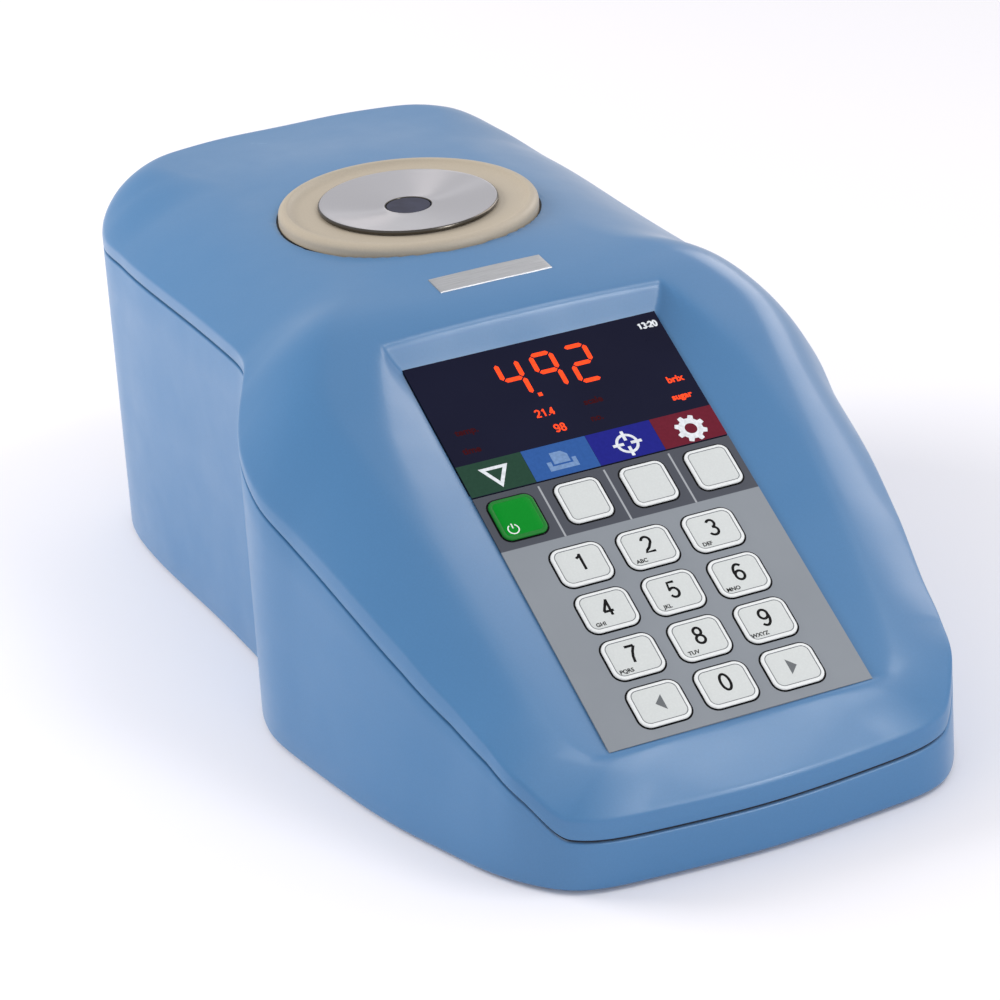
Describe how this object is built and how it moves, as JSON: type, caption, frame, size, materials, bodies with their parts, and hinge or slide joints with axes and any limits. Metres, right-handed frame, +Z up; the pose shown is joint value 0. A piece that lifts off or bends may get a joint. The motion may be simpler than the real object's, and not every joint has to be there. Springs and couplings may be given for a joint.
{
  "type": "refractometer",
  "caption": "Benchtop digital refractometer: blue two-part case with a sloping keypad and display, and a round steel sample dish with a glass window in its flat top.",
  "frame": {"origin": "On the table, under the middle of the case", "axes": "+X to the user's right, +Y towards the back, +Z up"},
  "size_m": [0.2142, 0.3768, 0.14],
  "materials": {
    "case_blue": "satin moulded and painted blue",
    "surround_tan": "warm beige plastic",
    "stainless_steel": "turned stainless steel",
    "aluminium": "machined aluminium",
    "prism_glass": "polished dark prism",
    "black_rubber": "black rubber",
    "key_white": "off-white keypad film with grey rim",
    "key_green": "green keypad film",
    "panel_grey": "printed grey overlay",
    "screen_black": "dark display window",
    "board_green": "green circuit board",
    "plastic_black": "black plastic",
    "mat_grey": "grey silicone mat",
    "lens_glass": "clear coated lens",
    "mirror": "front-surface mirror",
    "ceramic": "ceramic cooler faces"
  },
  "bodies": {
    "case": {"bench_post_1": "aluminium", "bench_post_2": "aluminium", "bench_post_3": "aluminium", "bench_post_4": "aluminium", "case_screw_1": "stainless_steel", "case_screw_2": "stainless_steel", "case_screw_3": "stainless_steel", "case_screw_4": "stainless_steel", "case_seal": "black_rubber", "connector_plate": "aluminium", "cooler_module": "ceramic", "display_module": "plastic_black", "display_window": "screen_black", "fold_mirror": "mirror", "foot_1": "black_rubber", "foot_2": "black_rubber", "foot_3": "black_rubber", "foot_4": "black_rubber", "heat_sink": "aluminium", "imaging_lens": "lens_glass", "key_mat": "mat_grey", "keypad_board": "board_green", "lens_barrel": "plastic_black", "light_source": "plastic_black", "lower_case": "case_blue", "main_board": "board_green", "mirror_mount": "plastic_black", "optical_bench": "aluminium", "panel_overlay": "panel_grey", "power_inlet": "plastic_black", "prism": "prism_glass", "prism_housing": "aluminium", "prism_surround": "surround_tan", "sample_dish": "stainless_steel", "sensor_board": "board_green", "serial_port": "stainless_steel", "source_lens": "lens_glass", "surround_seal": "black_rubber", "upper_case": "case_blue", "usb_port": "stainless_steel"},
    "key_0_body": {"key_0": "key_white"},
    "key_1_body": {"key_1": "key_white"},
    "key_2_body": {"key_2": "key_white"},
    "key_3_body": {"key_3": "key_white"},
    "key_4_body": {"key_4": "key_white"},
    "key_5_body": {"key_5": "key_white"},
    "key_6_body": {"key_6": "key_white"},
    "key_7_body": {"key_7": "key_white"},
    "key_8_body": {"key_8": "key_white"},
    "key_9_body": {"key_9": "key_white"},
    "key_left_body": {"key_left": "key_white"},
    "key_power_body": {"key_power": "key_green"},
    "key_right_body": {"key_right": "key_white"},
    "key_soft_1_body": {"key_soft_1": "key_white"},
    "key_soft_2_body": {"key_soft_2": "key_white"},
    "key_soft_3_body": {"key_soft_3": "key_white"}
  },
  "joints": [
    {"name": "key_0_press", "type": "slide", "parent": "case", "child": "key_0_body", "axis": [0, 0.4879, -0.8729], "range_m": [0, 0.0008], "stiffness_N_per_m": 1500},
    {"name": "key_1_press", "type": "slide", "parent": "case", "child": "key_1_body", "axis": [0, 0.4879, -0.8729], "range_m": [0, 0.0008], "stiffness_N_per_m": 1500},
    {"name": "key_2_press", "type": "slide", "parent": "case", "child": "key_2_body", "axis": [0, 0.4879, -0.8729], "range_m": [0, 0.0008], "stiffness_N_per_m": 1500},
    {"name": "key_3_press", "type": "slide", "parent": "case", "child": "key_3_body", "axis": [0, 0.4879, -0.8729], "range_m": [0, 0.0008], "stiffness_N_per_m": 1500},
    {"name": "key_4_press", "type": "slide", "parent": "case", "child": "key_4_body", "axis": [0, 0.4879, -0.8729], "range_m": [0, 0.0008], "stiffness_N_per_m": 1500},
    {"name": "key_5_press", "type": "slide", "parent": "case", "child": "key_5_body", "axis": [0, 0.4879, -0.8729], "range_m": [0, 0.0008], "stiffness_N_per_m": 1500},
    {"name": "key_6_press", "type": "slide", "parent": "case", "child": "key_6_body", "axis": [0, 0.4879, -0.8729], "range_m": [0, 0.0008], "stiffness_N_per_m": 1500},
    {"name": "key_7_press", "type": "slide", "parent": "case", "child": "key_7_body", "axis": [0, 0.4879, -0.8729], "range_m": [0, 0.0008], "stiffness_N_per_m": 1500},
    {"name": "key_8_press", "type": "slide", "parent": "case", "child": "key_8_body", "axis": [0, 0.4879, -0.8729], "range_m": [0, 0.0008], "stiffness_N_per_m": 1500},
    {"name": "key_9_press", "type": "slide", "parent": "case", "child": "key_9_body", "axis": [0, 0.4879, -0.8729], "range_m": [0, 0.0008], "stiffness_N_per_m": 1500},
    {"name": "key_left_press", "type": "slide", "parent": "case", "child": "key_left_body", "axis": [0, 0.4879, -0.8729], "range_m": [0, 0.0008], "stiffness_N_per_m": 1500},
    {"name": "key_power_press", "type": "slide", "parent": "case", "child": "key_power_body", "axis": [0, 0.4879, -0.8729], "range_m": [0, 0.0008], "stiffness_N_per_m": 1500},
    {"name": "key_right_press", "type": "slide", "parent": "case", "child": "key_right_body", "axis": [0, 0.4879, -0.8729], "range_m": [0, 0.0008], "stiffness_N_per_m": 1500},
    {"name": "key_soft_1_press", "type": "slide", "parent": "case", "child": "key_soft_1_body", "axis": [0, 0.4879, -0.8729], "range_m": [0, 0.0008], "stiffness_N_per_m": 1500},
    {"name": "key_soft_2_press", "type": "slide", "parent": "case", "child": "key_soft_2_body", "axis": [0, 0.4879, -0.8729], "range_m": [0, 0.0008], "stiffness_N_per_m": 1500},
    {"name": "key_soft_3_press", "type": "slide", "parent": "case", "child": "key_soft_3_body", "axis": [0, 0.4879, -0.8729], "range_m": [0, 0.0008], "stiffness_N_per_m": 1500}
  ]
}
